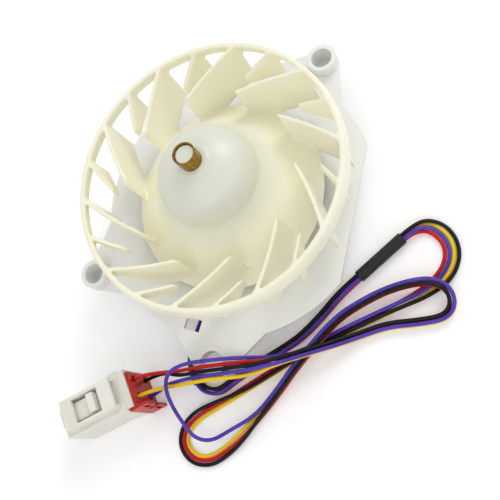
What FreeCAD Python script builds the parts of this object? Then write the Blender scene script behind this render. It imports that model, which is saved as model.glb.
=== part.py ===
import FreeCAD, Part
# Evaporator fan motor: outer-rotor motor on a three-ear plate, turbo impeller and wired connector.
# Millimetres. +Z is the fan axis, towards the inlet, and +X points to the single ear.
# The origin is the centre of the rear cover's flat face, on which the motor lies.
import Sketcher
import math
import os

from FreeCAD import Vector

doc = FreeCAD.newDocument("EvaporatorFanMotor")
sheet = doc.addObject("Spreadsheet::Sheet", "Sizes")
rows_used = [0]


class Size:
    """A length or an angle: its number now, and the words with which the sheet works it out."""

    def __init__(self, number, words):
        self.number = float(number)
        self.words = words

    def __add__(self, other):
        other = as_size(other)
        return Size(self.number + other.number, "(%s + %s)" % (self.words, other.words))

    def __radd__(self, other):
        return as_size(other) + self

    def __sub__(self, other):
        other = as_size(other)
        return Size(self.number - other.number, "(%s - %s)" % (self.words, other.words))

    def __rsub__(self, other):
        return as_size(other) - self

    def __mul__(self, other):
        other = as_size(other)
        return Size(self.number * other.number, "(%s * %s)" % (self.words, other.words))

    def __rmul__(self, other):
        return as_size(other) * self

    def __truediv__(self, other):
        other = as_size(other)
        return Size(self.number / other.number, "(%s / %s)" % (self.words, other.words))

    def __neg__(self):
        return Size(-self.number, "(0 - %s)" % self.words)


def as_size(value):
    """Lets a plain number stand beside a size."""
    if isinstance(value, Size):
        return value
    return Size(value, "(%.6g)" % value if value < 0 else "%.6g" % value)


def named(word, number):
    """One driving dimension: a cell of the sheet with an alias."""
    rows_used[0] += 1
    cell = "B%d" % rows_used[0]
    sheet.set("A%d" % rows_used[0], word)
    sheet.set(cell, "%.6g" % number)
    sheet.setAlias(cell, word)
    return Size(number, "Sizes.%s" % word)


def cosine(angle):
    """Cosine of an angle in degrees."""
    return Size(math.cos(math.radians(angle.number)), "cos(%s)" % angle.words)


def sine(angle):
    """Sine of an angle in degrees."""
    return Size(math.sin(math.radians(angle.number)), "sin(%s)" % angle.words)


def polar(radius, angle):
    """A point by its radius and azimuth."""
    angle = as_size(angle)
    return (radius * cosine(angle), radius * sine(angle))


# Impeller: inlet ring
ring_outer_radius = named("ring_outer_radius", 55.0)
ring_wall = named("ring_wall", 2.1)
ring_top = named("ring_top", 46.0)
ring_depth = named("ring_depth", 6.8)
ring_flare = named("ring_flare", 0.9)
ring_lip_depth = named("ring_lip_depth", 1.5)
ring_lip_step = named("ring_lip_step", 0.35)
ring_lower_wall = named("ring_lower_wall", 1.1)

# Impeller: blades
blade_count = 10
blade_thickness = named("blade_thickness", 1.6)
blade_curve_radius = named("blade_curve_radius", 120.0)
blade_inner_radius = named("blade_inner_radius", 35.3)
blade_inner_azimuth = named("blade_inner_azimuth", 14.2)
blade_inner_top = named("blade_inner_top", 42.7)
blade_sweep = named("blade_sweep", 29.0)
blade_tip_radius = named("blade_tip_radius", 54.1)
blade_tip_bottom = named("blade_tip_bottom", 21.5)
blade_inner_lean = named("blade_inner_lean", 57.0)
blade_outer_lean = named("blade_outer_lean", 43.0)
splitter_inner_radius = named("splitter_inner_radius", 44.1)
splitter_inner_top = named("splitter_inner_top", 38.3)
splitter_inner_bottom = named("splitter_inner_bottom", 33.6)
splitter_tip_bottom = named("splitter_tip_bottom", 27.6)
splitter_sweep = named("splitter_sweep", 12.1)
splitter_lean = named("splitter_lean", 50.0)
cut_margin = named("cut_margin", 3.0)

# Impeller: disc, hub and nose
disc_radius = named("disc_radius", 41.0)
disc_edge_top = named("disc_edge_top", 20.0)
disc_wall = named("disc_wall", 1.6)
cone_radius = named("cone_radius", 28.0)
cone_top = named("cone_top", 31.8)
neck_radius = named("neck_radius", 20.6)
neck_height = named("neck_height", 39.8)
neck_sweep_radius = named("neck_sweep_radius", 34.0)
shoulder_radius = named("shoulder_radius", 17.1)
shoulder_height = named("shoulder_height", 50.0)
shoulder_sweep_radius = named("shoulder_sweep_radius", 20.0)
dome_sweep_radius = named("dome_sweep_radius", 24.0)
collar_radius = named("collar_radius", 6.2)
collar_height = named("collar_height", 55.8)
collar_step = named("collar_step", 0.4)
nose_radius = named("nose_radius", 3.86)
nose_top = named("nose_top", 62.3)
nose_rim = named("nose_rim", 0.7)
nose_dish = named("nose_dish", 0.6)
rib_count = 6
rib_width = named("rib_width", 1.4)
grip_clearance = named("grip_clearance", 0.05)

# Brass ring on the nose
brass_wall = named("brass_wall", 0.6)
brass_stand = named("brass_stand", 0.6)

# Rotor
shaft_radius = named("shaft_radius", 1.5)
shaft_bottom = named("shaft_bottom", 9.0)
shaft_top = named("shaft_top", 60.0)
yoke_radius = named("yoke_radius", 17.5)
yoke_wall = named("yoke_wall", 1.0)
yoke_bottom = named("yoke_bottom", 19.0)
yoke_top = named("yoke_top", 43.0)
magnet_wall = named("magnet_wall", 2.3)
magnet_bottom = named("magnet_bottom", 20.0)
magnet_height = named("magnet_height", 14.0)
boss_radius = named("boss_radius", 5.5)
seat_clearance = named("seat_clearance", 0.2)
running_clearance = named("running_clearance", 0.02)
clip_radius = named("clip_radius", 2.7)
clip_thickness = named("clip_thickness", 0.6)
clip_groove_depth = named("clip_groove_depth", 0.35)
spring_inner_radius = named("spring_inner_radius", 1.75)
spring_outer_radius = named("spring_outer_radius", 3.4)
spring_thickness = named("spring_thickness", 0.4)
chamfer_size = named("chamfer_size", 0.3)

# Bearings
bearing_radius = named("bearing_radius", 4.0)
bearing_height = named("bearing_height", 4.0)
rear_bearing_bottom = named("rear_bearing_bottom", 12.5)
front_bearing_bottom = named("front_bearing_bottom", 35.0)
bearing_shield_step = named("bearing_shield_step", 0.15)

# Mounting plate
plate_radius = named("plate_radius", 60.0)
plate_bottom = named("plate_bottom", 12.0)
plate_thickness = named("plate_thickness", 2.0)
flat_azimuth = named("flat_azimuth", 293.0)
flat_distance = named("flat_distance", 52.5)
ear_circle_radius = named("ear_circle_radius", 70.0)
arm_root_radius = named("arm_root_radius", 60.0)
tall_ear_radius = named("tall_ear_radius", 6.35)
tall_boss_radius = named("tall_boss_radius", 6.3)
tall_boss_top = named("tall_boss_top", 18.6)
tall_bore_radius = named("tall_bore_radius", 4.4)
tall_bore_depth = named("tall_bore_depth", 9.0)
tall_foot_radius = named("tall_foot_radius", 5.6)
tall_foot_bottom = named("tall_foot_bottom", 8.4)
low_ear_radius = named("low_ear_radius", 7.25)
low_rim_radius = named("low_rim_radius", 7.2)
low_rim_rise = named("low_rim_rise", 0.8)
low_bore_radius = named("low_bore_radius", 5.2)
low_foot_bottom = named("low_foot_bottom", 10.0)
low_ear_azimuth = named("low_ear_azimuth", 209.0)
window_radius = named("window_radius", 55.7)
window_azimuth = named("window_azimuth", 197.7)
window_width = named("window_width", 7.2)
window_depth = named("window_depth", 5.0)
tube_wall = named("tube_wall", 1.2)
tube_top = named("tube_top", 40.0)
stator_shoulder_radius = named("stator_shoulder_radius", 7.0)

# Rear cover and what fastens it
cover_radius = named("cover_radius", 38.0)
cover_wall = named("cover_wall", 1.6)
cover_screw_circle = named("cover_screw_circle", 32.6)
cover_screw_pad = named("cover_screw_pad", 1.4)
cover_screw_head_radius = named("cover_screw_head_radius", 2.4)
cover_screw_head = named("cover_screw_head", 1.5)
cover_screw_radius = named("cover_screw_radius", 1.15)
cover_screw_length = named("cover_screw_length", 6.5)
screw_post_radius = named("screw_post_radius", 3.0)
screw_clearance = named("screw_clearance", 0.05)
cable_notch_width = named("cable_notch_width", 8.4)
cable_notch_height = named("cable_notch_height", 3.0)
cable_azimuth = named("cable_azimuth", 198.5)
cover_edge = named("cover_edge", 1.0)
drain_slot_count = 3
drain_slot_width = named("drain_slot_width", 1.6)
spigot_wall = named("spigot_wall", 1.2)
spigot_depth = named("spigot_depth", 1.2)
screw_drive_width = named("screw_drive_width", 0.6)
head_inset = named("head_inset", 0.3)

# Circuit board and its parts
board_radius = named("board_radius", 29.0)
board_bottom = named("board_bottom", 7.0)
board_thickness = named("board_thickness", 1.6)
board_hole_radius = named("board_hole_radius", 6.0)
standoff_circle = named("standoff_circle", 24.0)
standoff_radius = named("standoff_radius", 2.6)
board_screw_radius = named("board_screw_radius", 1.0)
board_screw_head_radius = named("board_screw_head_radius", 2.0)
board_screw_head = named("board_screw_head", 1.3)
chip_length = named("chip_length", 10.0)
chip_width = named("chip_width", 6.0)
chip_height = named("chip_height", 1.8)
capacitor_radius = named("capacitor_radius", 3.15)
capacitor_length = named("capacitor_length", 4.8)
hall_length = named("hall_length", 4.0)
hall_width = named("hall_width", 1.6)
hall_height = named("hall_height", 9.2)
hall_azimuth = named("hall_azimuth", 75.0)

# Stator
stator_radius = named("stator_radius", 13.6)
stator_bottom = named("stator_bottom", 23.5)
stator_height = named("stator_height", 8.0)
stator_ring_radius = named("stator_ring_radius", 7.2)
tooth_count = 6
tooth_width = named("tooth_width", 2.6)
tooth_shoe_depth = named("tooth_shoe_depth", 1.3)
tooth_shoe_gap = named("tooth_shoe_gap", 2.0)
insulator_height = named("insulator_height", 2.6)
insulator_wall = named("insulator_wall", 0.8)
coil_thickness = named("coil_thickness", 1.1)
coil_gap = named("coil_gap", 0.1)
coil_ring_gap = named("coil_ring_gap", 0.45)


# Drawing helpers
def origin_feature(body, role):
    """A plane or an axis of a body's own origin."""
    for feature in body.Origin.OriginFeatures:
        if feature.Role == role:
            return feature
    raise RuntimeError("no origin feature %s" % role)


def sketch_in(body, name, role, lift=None):
    """A sketch on one of the body's own planes, raised along the plane's normal."""
    sketch = body.newObject("Sketcher::SketchObject", name)
    sketch.AttachmentSupport = [(origin_feature(body, role), "")]
    sketch.MapMode = "FlatFace"
    if lift is not None:
        lift = as_size(lift)
        sketch.setExpression("AttachmentOffset.Base.z", lift.words)
    return sketch


def pin_distance(sketch, axis, geometry, end, size):
    """Holds one coordinate of a sketch point at a size."""
    kind = "DistanceX" if axis == 0 else "DistanceY"
    if size.words == "0":
        sketch.addConstraint(Sketcher.Constraint("PointOnObject", geometry, end, -2 if axis == 0 else -1))
        return
    index = sketch.addConstraint(Sketcher.Constraint(kind, -1, 1, geometry, end, size.number))
    sketch.setExpression("Constraints[%d]" % index, size.words)


def pin_point(sketch, geometry, end, point):
    """Holds a sketch point at a place."""
    pin_distance(sketch, 0, geometry, end, as_size(point[0]))
    pin_distance(sketch, 1, geometry, end, as_size(point[1]))


def arc_between(first, last, radius, left):
    """The short arc between two points, bulging to the left or right of the way from first to last."""
    chord = last - first
    half = chord.Length / 2.0
    across = Vector(-chord.y, chord.x, 0).normalize()
    side = -1.0 if left else 1.0
    centre = (first + last) * 0.5 + across * side * math.sqrt(radius * radius - half * half)
    start, end = (last, first) if left else (first, last)
    angles = [math.atan2(p.y - centre.y, p.x - centre.x) for p in (start, end)]
    circle = Part.Circle(centre, Vector(0, 0, 1), radius)
    return Part.ArcOfCircle(circle, angles[0], angles[1])


def outline(sketch, points, arcs=None):
    """A closed outline through the points. arcs gives, by the index of its first point, (radius, left)."""
    arcs = arcs or {}
    points = [(as_size(x), as_size(y)) for x, y in points]
    places = [Vector(x.number, y.number, 0) for x, y in points]
    count = len(points)
    ends = []
    for index in range(count):
        first = places[index]
        last = places[(index + 1) % count]
        if index in arcs:
            radius, left = arcs[index]
            geometry = sketch.addGeometry(arc_between(first, last, radius.number, left))
            ends.append((geometry, 2, 1) if left else (geometry, 1, 2))
        else:
            geometry = sketch.addGeometry(Part.LineSegment(first, last))
            ends.append((geometry, 1, 2))
    for index in range(count):
        here = ends[index]
        after = ends[(index + 1) % count]
        sketch.addConstraint(Sketcher.Constraint("Coincident", here[0], here[2], after[0], after[1]))
    for index in range(count):
        pin_point(sketch, ends[index][0], ends[index][1], points[index])
        if index in arcs:
            radius = arcs[index][0]
            number = sketch.addConstraint(Sketcher.Constraint("Radius", ends[index][0], radius.number))
            sketch.setExpression("Constraints[%d]" % number, radius.words)


def circle_in(sketch, centre, radius):
    """A circle held by its centre and radius."""
    radius = as_size(radius)
    centre = (as_size(centre[0]), as_size(centre[1]))
    place = Vector(centre[0].number, centre[1].number, 0)
    geometry = sketch.addGeometry(Part.Circle(place, Vector(0, 0, 1), radius.number))
    pin_point(sketch, geometry, 3, centre)
    number = sketch.addConstraint(Sketcher.Constraint("Radius", geometry, radius.number))
    sketch.setExpression("Constraints[%d]" % number, radius.words)


def new_body(label):
    body = doc.addObject("PartDesign::Body", label.title().replace("_", ""))
    body.Label = label
    return body


def volume_of(body):
    doc.recompute()
    return body.Shape.Volume


def turn(body, name, points, arcs=None, cut=False):
    """Turns a profile, given as radius and height, about the fan axis: a solid, or a cut."""
    before = volume_of(body) if cut else 0.0
    sketch = sketch_in(body, name + "Profile", "XZ_Plane")
    outline(sketch, points, arcs)
    feature = body.newObject("PartDesign::Groove" if cut else "PartDesign::Revolution", name)
    feature.Profile = sketch
    feature.ReferenceAxis = (sketch, ["V_Axis"])
    feature.Angle = 360.0
    sketch.Visibility = False
    if cut and volume_of(body) >= before - 1e-3:
        raise RuntimeError("%s cuts nothing" % name)
    return feature


def raise_up(body, name, draw, bottom, top):
    """Pads what draw puts in a level sketch, from one height to another."""
    bottom = as_size(bottom)
    sketch = sketch_in(body, name + "Plan", "XY_Plane", bottom)
    draw(sketch)
    feature = body.newObject("PartDesign::Pad", name)
    feature.Profile = sketch
    feature.setExpression("Length", (as_size(top) - bottom).words)
    sketch.Visibility = False
    return feature


def sink(body, name, draw, top, bottom):
    """Pockets what draw puts in a level sketch, from a height down to a lower one."""
    top = as_size(top)
    before = volume_of(body)
    sketch = sketch_in(body, name + "Plan", "XY_Plane", top)
    draw(sketch)
    feature = body.newObject("PartDesign::Pocket", name)
    feature.Profile = sketch
    feature.setExpression("Length", (top - as_size(bottom)).words)
    sketch.Visibility = False
    if volume_of(body) >= before - 1e-3:
        raise RuntimeError("%s cuts nothing" % name)
    return feature


def repeat_round(body, name, features, count):
    """Repeats features evenly about the fan axis."""
    pattern = body.newObject("PartDesign::PolarPattern", name)
    pattern.Originals = features
    pattern.Axis = (origin_feature(body, "Z_Axis"), [""])
    pattern.Angle = 360.0
    pattern.Occurrences = count
    body.Tip = pattern
    return pattern


def slab(centre_radius, azimuth, along, across):
    """Corners of a rectangle centred at a radius and azimuth, its length along the radius."""
    azimuth = as_size(azimuth)
    corners = []
    for radial, lateral in ((-1, -1), (1, -1), (1, 1), (-1, 1)):
        reach = centre_radius + along * (radial * 0.5)
        offset = across * (lateral * 0.5)
        corners.append((reach * cosine(azimuth) - offset * sine(azimuth),
                        reach * sine(azimuth) + offset * cosine(azimuth)))
    return corners


def rectangle(x_low, x_high, y_low, y_high):
    return [(x_low, y_low), (x_high, y_low), (x_high, y_high), (x_low, y_high)]


zero = Size(0, "0")

# Impeller: ring, blades, splitters, disc, hub and nose in one moulding
impeller = new_body("impeller")
ring_inner_radius = ring_outer_radius - ring_wall
ring_bottom = ring_top - ring_depth
ring_foot_radius = ring_outer_radius + ring_flare
turn(impeller, "InletRing", [
    (ring_inner_radius, ring_top),
    (ring_inner_radius, ring_top - ring_lip_depth),
    (ring_foot_radius - ring_lower_wall, ring_bottom),
    (ring_foot_radius, ring_bottom),
    (ring_outer_radius + ring_lip_step, ring_top - ring_lip_depth),
    (ring_outer_radius, ring_top - ring_lip_depth),
    (ring_outer_radius, ring_top)])

splitter_inner_azimuth = blade_inner_azimuth + 180.0 / blade_count + splitter_sweep - blade_sweep
radians = 57.29578


def blade_plan(inner_radius, inner_azimuth, sweep, inner_lean):
    """Draws one blade as two arcs, its thickness laid off square to its lean at both ends."""
    inner_turn = blade_thickness / (inner_radius * cosine(inner_lean)) * radians
    outer_turn = blade_thickness / (blade_tip_radius * cosine(blade_outer_lean)) * radians
    outer_azimuth = inner_azimuth - sweep
    points = [polar(inner_radius, inner_azimuth), polar(blade_tip_radius, outer_azimuth),
              polar(blade_tip_radius, outer_azimuth + outer_turn),
              polar(inner_radius, inner_azimuth + inner_turn)]
    arcs = {0: (blade_curve_radius, True), 2: (blade_curve_radius, False)}
    return lambda sketch: outline(sketch, points, arcs)


blade_floor = disc_edge_top - 4.0
splitter = raise_up(impeller, "Splitter",
                    blade_plan(splitter_inner_radius, splitter_inner_azimuth, splitter_sweep, splitter_lean),
                    blade_floor, ring_top)
repeat_round(impeller, "Splitters", [splitter], blade_count)
turn(impeller, "SplitterTopSlope", [
    (ring_inner_radius, ring_top),
    (splitter_inner_radius, splitter_inner_top),
    (splitter_inner_radius - cut_margin, splitter_inner_top),
    (splitter_inner_radius - cut_margin, ring_top + cut_margin),
    (ring_inner_radius, ring_top + cut_margin)], cut=True)
turn(impeller, "SplitterFoot", [
    (splitter_inner_radius - cut_margin, splitter_inner_bottom),
    (splitter_inner_radius, splitter_inner_bottom),
    (blade_tip_radius + cut_margin, splitter_tip_bottom),
    (blade_tip_radius + cut_margin, blade_floor - cut_margin),
    (splitter_inner_radius - cut_margin, blade_floor - cut_margin)], cut=True)
blade = raise_up(impeller, "Blade",
                 blade_plan(blade_inner_radius, blade_inner_azimuth, blade_sweep, blade_inner_lean),
                 blade_floor, ring_top)
repeat_round(impeller, "Blades", [blade], blade_count)
turn(impeller, "BladeTopSlope", [
    (ring_inner_radius, ring_top),
    (blade_inner_radius, blade_inner_top),
    (blade_inner_radius - cut_margin, blade_inner_top),
    (blade_inner_radius - cut_margin, ring_top + cut_margin),
    (ring_inner_radius, ring_top + cut_margin)], cut=True)
cone_slope = (cone_top - disc_edge_top) / (disc_radius - cone_radius)
cone_at_blade = disc_edge_top + cone_slope * (disc_radius - blade_inner_radius + cut_margin)
half_wall = disc_wall * 0.5
turn(impeller, "BladeFoot", [
    (blade_inner_radius - cut_margin, cone_at_blade - half_wall),
    (disc_radius, disc_edge_top - half_wall),
    (disc_radius, disc_edge_top - disc_wall),
    (blade_tip_radius + cut_margin, blade_tip_bottom),
    (blade_tip_radius + cut_margin, blade_floor - cut_margin),
    (blade_inner_radius - cut_margin, blade_floor - cut_margin)], cut=True)

hub_inner_radius = yoke_radius + rib_width
boss_bottom = yoke_top + seat_clearance
dome_inner_top = collar_height - 1.7
turn(impeller, "Hub", [
    (zero, shaft_top),
    (shaft_radius, shaft_top),
    (shaft_radius, boss_bottom),
    (boss_radius, boss_bottom),
    (boss_radius, dome_inner_top),
    (shoulder_radius - disc_wall, shoulder_height - disc_wall),
    (hub_inner_radius, boss_bottom),
    (hub_inner_radius, neck_height - disc_wall),
    (cone_radius, cone_top - disc_wall),
    (disc_radius, disc_edge_top - disc_wall),
    (disc_radius, disc_edge_top),
    (cone_radius, cone_top),
    (neck_radius, neck_height),
    (shoulder_radius, shoulder_height),
    (collar_radius, collar_height),
    (collar_radius, collar_height + collar_step),
    (nose_radius, collar_height + collar_step),
    (nose_radius, nose_top),
    (nose_radius - nose_rim, nose_top),
    (nose_radius - nose_rim, nose_top - nose_dish),
    (zero, nose_top - nose_dish)],
    {11: (neck_sweep_radius, True), 12: (shoulder_sweep_radius, False), 13: (dome_sweep_radius, False)})
rib = raise_up(impeller, "GripRib", lambda sketch: outline(sketch, slab(
    yoke_radius + grip_clearance + rib_width * 0.5, 0, rib_width, rib_width)),
    neck_height - 3.0, boss_bottom)
repeat_round(impeller, "GripRibs", [rib], rib_count)

# Brass ring pressed on the nose
brass = new_body("brass_ring")
turn(brass, "BrassSleeve", [
    (nose_radius, collar_height + collar_step),
    (nose_radius + brass_wall, collar_height + collar_step),
    (nose_radius + brass_wall, nose_top + brass_stand),
    (nose_radius, nose_top + brass_stand)])

# Shaft with its clip groove
shaft = new_body("shaft")
clip_top = rear_bearing_bottom - seat_clearance * 0.5
clip_bottom = clip_top - clip_thickness
turn(shaft, "ShaftTurned", [
    (zero, shaft_bottom),
    (shaft_radius - chamfer_size, shaft_bottom),
    (shaft_radius, shaft_bottom + chamfer_size),
    (shaft_radius, clip_bottom),
    (shaft_radius - clip_groove_depth, clip_bottom),
    (shaft_radius - clip_groove_depth, clip_top),
    (shaft_radius, clip_top),
    (shaft_radius, shaft_top),
    (zero, shaft_top)])

clip = new_body("shaft_clip")
clip_hole = shaft_radius - clip_groove_depth


def clip_plan(sketch):
    circle_in(sketch, (zero, zero), clip_radius)
    circle_in(sketch, (zero, zero), clip_hole)


raise_up(clip, "ClipDisc", clip_plan, clip_bottom, clip_top)
sink(clip, "ClipMouth", lambda sketch: outline(sketch, rectangle(
    zero, clip_radius + 1.0, clip_hole * -0.8, clip_hole * 0.8)), clip_top, clip_bottom)

# Rotor yoke and magnet
yoke = new_body("rotor_yoke")
turn(yoke, "YokeCup", [
    (shaft_radius, yoke_top - yoke_wall),
    (yoke_radius - yoke_wall, yoke_top - yoke_wall),
    (yoke_radius - yoke_wall, yoke_bottom),
    (yoke_radius, yoke_bottom),
    (yoke_radius, yoke_top - yoke_wall),
    (yoke_radius - yoke_wall, yoke_top),
    (shaft_radius, yoke_top)])
magnet = new_body("rotor_magnet")
magnet_outer = yoke_radius - yoke_wall
turn(magnet, "MagnetRing", [
    (magnet_outer - magnet_wall, magnet_bottom),
    (magnet_outer, magnet_bottom),
    (magnet_outer, magnet_bottom + magnet_height),
    (magnet_outer - magnet_wall, magnet_bottom + magnet_height)])

# Bearings: inner race, shields set back and outer race in one closed ring
for label, bottom in (("rear_bearing", rear_bearing_bottom), ("front_bearing", front_bearing_bottom)):
    bearing = new_body(label)
    bore = shaft_radius + running_clearance
    race = (bearing_radius - bore) * 0.28
    top = bottom + bearing_height
    turn(bearing, label.title().replace("_", "") + "Ring", [
        (bore, bottom),
        (bore + race, bottom),
        (bore + race, bottom + bearing_shield_step),
        (bearing_radius - race, bottom + bearing_shield_step),
        (bearing_radius - race, bottom),
        (bearing_radius, bottom),
        (bearing_radius, top),
        (bearing_radius - race, top),
        (bearing_radius - race, top - bearing_shield_step),
        (bore + race, top - bearing_shield_step),
        (bore + race, top),
        (bore, top)])

# Preload spring: two conical washers, wide ends together, between the front bearing and the yoke
spring_bottom = front_bearing_bottom + bearing_height + seat_clearance * 0.5
spring_top = yoke_top - yoke_wall - seat_clearance * 0.5
spring_middle = (spring_bottom + spring_top) * 0.5
spring = new_body("preload_spring")
turn(spring, "ConePair", [
    (spring_inner_radius, spring_bottom),
    (spring_outer_radius, spring_middle - spring_thickness * 0.5),
    (spring_outer_radius, spring_middle + spring_thickness * 0.5),
    (spring_inner_radius, spring_top),
    (spring_inner_radius, spring_top - spring_thickness),
    (spring_outer_radius - spring_thickness, spring_middle),
    (spring_inner_radius, spring_bottom + spring_thickness)])

# Mounting plate
plate = new_body("mounting_plate")
plate_top = plate_bottom + plate_thickness
raise_up(plate, "PlateDisc", lambda sketch: circle_in(sketch, (zero, zero), plate_radius),
         plate_bottom, plate_top)
sink(plate, "PlateFlat", lambda sketch: outline(sketch, slab(
    flat_distance + plate_radius * 0.5, flat_azimuth, plate_radius, plate_radius * 2)),
    plate_top, plate_bottom)


def tangent_arm(centre, radius, first_root, second_root):
    """Draws an ear: an arc about its bore with a straight side, tangent to it, to each root."""

    def draw(sketch):
        middle = Vector(centre[0].number, centre[1].number, 0)
        out = Vector(middle).normalize()
        side = Vector(-out.y, out.x, 0)
        start = middle - side * radius.number
        end = middle + side * radius.number
        angles = [math.atan2(p.y - middle.y, p.x - middle.x) for p in (start, end)]
        arc = sketch.addGeometry(Part.ArcOfCircle(Part.Circle(middle, Vector(0, 0, 1), radius.number),
                                                  angles[0], angles[1]))
        roots = [Vector(p[0].number, p[1].number, 0) for p in (first_root, second_root)]
        first = sketch.addGeometry(Part.LineSegment(roots[0], start))
        second = sketch.addGeometry(Part.LineSegment(end, roots[1]))
        hub_line = sketch.addGeometry(Part.LineSegment(roots[1], Vector(0, 0, 0)))
        back_line = sketch.addGeometry(Part.LineSegment(Vector(0, 0, 0), roots[0]))
        sketch.addConstraint(Sketcher.Constraint("Coincident", back_line, 2, first, 1))
        sketch.addConstraint(Sketcher.Constraint("Coincident", hub_line, 2, back_line, 1))
        sketch.addConstraint(Sketcher.Constraint("Coincident", second, 2, hub_line, 1))
        sketch.addConstraint(Sketcher.Constraint("Coincident", hub_line, 2, -1, 1))
        sketch.addConstraint(Sketcher.Constraint("Tangent", first, 2, arc, 1))
        sketch.addConstraint(Sketcher.Constraint("Tangent", arc, 2, second, 1))
        pin_point(sketch, arc, 3, centre)
        number = sketch.addConstraint(Sketcher.Constraint("Radius", arc, radius.number))
        sketch.setExpression("Constraints[%d]" % number, radius.words)
        pin_point(sketch, first, 1, first_root)
        pin_point(sketch, second, 2, second_root)

    return draw


arm_root = arm_root_radius - 0.4
ear_arms = (
    ("SingleEar", named("single_ear_azimuth", 0.0), tall_ear_radius,
     named("single_ear_first_root", -18.0), named("single_ear_second_root", 28.0)),
    ("UpperEar", named("upper_ear_azimuth", 150.0), tall_ear_radius,
     named("upper_ear_first_root", 129.0), named("upper_ear_second_root", 165.5)),
    ("LowEar", low_ear_azimuth, low_ear_radius,
     named("low_ear_first_root", 189.0), named("low_ear_second_root", 230.0)))
ear_centres = {}
for name, azimuth, radius, first, second in ear_arms:
    ear_centres[name] = polar(ear_circle_radius, azimuth)
    roots = (polar(arm_root, first), polar(arm_root, second))
    raise_up(plate, name, tangent_arm(ear_centres[name], radius, roots[0], roots[1]), plate_bottom, plate_top)
for name in ("SingleEar", "UpperEar"):
    centre = ear_centres[name]
    raise_up(plate, name + "Boss", lambda sketch: circle_in(sketch, centre, tall_boss_radius),
             plate_top, tall_boss_top)
    raise_up(plate, name + "Foot", lambda sketch: circle_in(sketch, centre, tall_foot_radius),
             tall_foot_bottom, plate_bottom)
low_centre = ear_centres["LowEar"]
low_rim_top = plate_top + low_rim_rise
raise_up(plate, "LowEarRim", lambda sketch: circle_in(sketch, low_centre, low_rim_radius),
         plate_top, low_rim_top)
raise_up(plate, "LowEarFoot", lambda sketch: circle_in(sketch, low_centre, low_rim_radius),
         low_foot_bottom, plate_bottom)
for name in ("SingleEar", "UpperEar"):
    centre = ear_centres[name]
    sink(plate, name + "Bore", lambda sketch: circle_in(sketch, centre, tall_bore_radius),
         tall_boss_top, tall_boss_top - tall_bore_depth)
sink(plate, "LowEarBore", lambda sketch: circle_in(sketch, low_centre, low_bore_radius),
     low_rim_top, low_foot_bottom)
sink(plate, "WireWindow", lambda sketch: outline(sketch, slab(
    window_radius, window_azimuth, window_depth, window_width)), plate_top, plate_bottom)
sink(plate, "HallOpening", lambda sketch: outline(sketch, slab(
    magnet_outer - magnet_wall * 0.5, hall_azimuth, hall_width + 1.0, hall_length + 1.0)),
    plate_top, plate_bottom)
tube_radius = bearing_radius + tube_wall
tube_shelf = rear_bearing_bottom + bearing_height
turn(plate, "BearingTube", [
    (bearing_radius, plate_bottom),
    (tube_radius + 2.0, plate_bottom),
    (stator_shoulder_radius, plate_top),
    (stator_shoulder_radius, stator_bottom),
    (tube_radius, stator_bottom),
    (tube_radius, tube_top),
    (bearing_radius, tube_top),
    (bearing_radius, front_bearing_bottom),
    (bearing_radius - 0.7, front_bearing_bottom),
    (bearing_radius - 0.7, tube_shelf),
    (bearing_radius, tube_shelf)])
sink(plate, "RearBearingBore", lambda sketch: circle_in(sketch, (zero, zero), bearing_radius),
     plate_top, plate_bottom)
cover_floor = cover_wall
post_bottom = cover_floor + cover_screw_pad + screw_clearance
screw_places = [60.0, 180.0, 300.0]
for index, azimuth in enumerate(screw_places):
    place = polar(cover_screw_circle, azimuth)
    raise_up(plate, "ScrewPost%d" % index, lambda sketch: circle_in(sketch, place, screw_post_radius),
             post_bottom, plate_bottom)
    sink(plate, "ScrewPilot%d" % index, lambda sketch: circle_in(
        sketch, place, cover_screw_radius + screw_clearance), plate_bottom, post_bottom)
board_top = board_bottom + board_thickness
standoff_places = [110.0, 290.0]
for index, azimuth in enumerate(standoff_places):
    place = polar(standoff_circle, azimuth)
    raise_up(plate, "Standoff%d" % index, lambda sketch: circle_in(sketch, place, standoff_radius),
             board_top, plate_bottom)
    sink(plate, "StandoffPilot%d" % index, lambda sketch: circle_in(
        sketch, place, board_screw_radius + screw_clearance), plate_bottom, board_top)
spigot_radius = cover_radius - cover_wall - seat_clearance
turn(plate, "CoverSpigot", [
    (spigot_radius - spigot_wall, plate_bottom - spigot_depth),
    (spigot_radius, plate_bottom - spigot_depth),
    (spigot_radius, plate_bottom + 0.5),
    (spigot_radius - spigot_wall, plate_bottom + 0.5)])

# Rear cover: a shallow cup with three screw seats and a notch for the wires
cover = new_body("rear_cover")
turn(cover, "CoverCup", [
    (zero, zero),
    (cover_radius - cover_edge, zero),
    (cover_radius, cover_edge),
    (cover_radius, plate_bottom),
    (cover_radius - cover_wall, plate_bottom),
    (cover_radius - cover_wall, cover_floor),
    (zero, cover_floor)])
head_recess = cover_screw_head
for index, azimuth in enumerate(screw_places):
    place = polar(cover_screw_circle, azimuth)
    raise_up(cover, "ScrewSeat%d" % index, lambda sketch: circle_in(sketch, place, screw_post_radius),
             cover_floor, cover_floor + cover_screw_pad)
    sink(cover, "ScrewHole%d" % index, lambda sketch: circle_in(
        sketch, place, cover_screw_radius + screw_clearance), cover_floor + cover_screw_pad, zero)
    sink(cover, "HeadRecess%d" % index, lambda sketch: circle_in(
        sketch, place, cover_screw_head_radius + screw_clearance * 2), head_recess, zero)
notch_bottom = board_bottom - cable_notch_height
sink(cover, "CableNotch", lambda sketch: outline(sketch, slab(
    cover_radius - cover_wall * 0.5, cable_azimuth, cover_wall * 3, cable_notch_width)),
    board_bottom, notch_bottom)
for index in range(drain_slot_count):
    azimuth = index * 360.0 / drain_slot_count
    sink(cover, "DrainSlot%d" % index, lambda sketch: outline(sketch, slab(
        cover_radius * 0.45, azimuth, cover_radius * 0.3, drain_slot_width)), cover_floor, zero)


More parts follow.
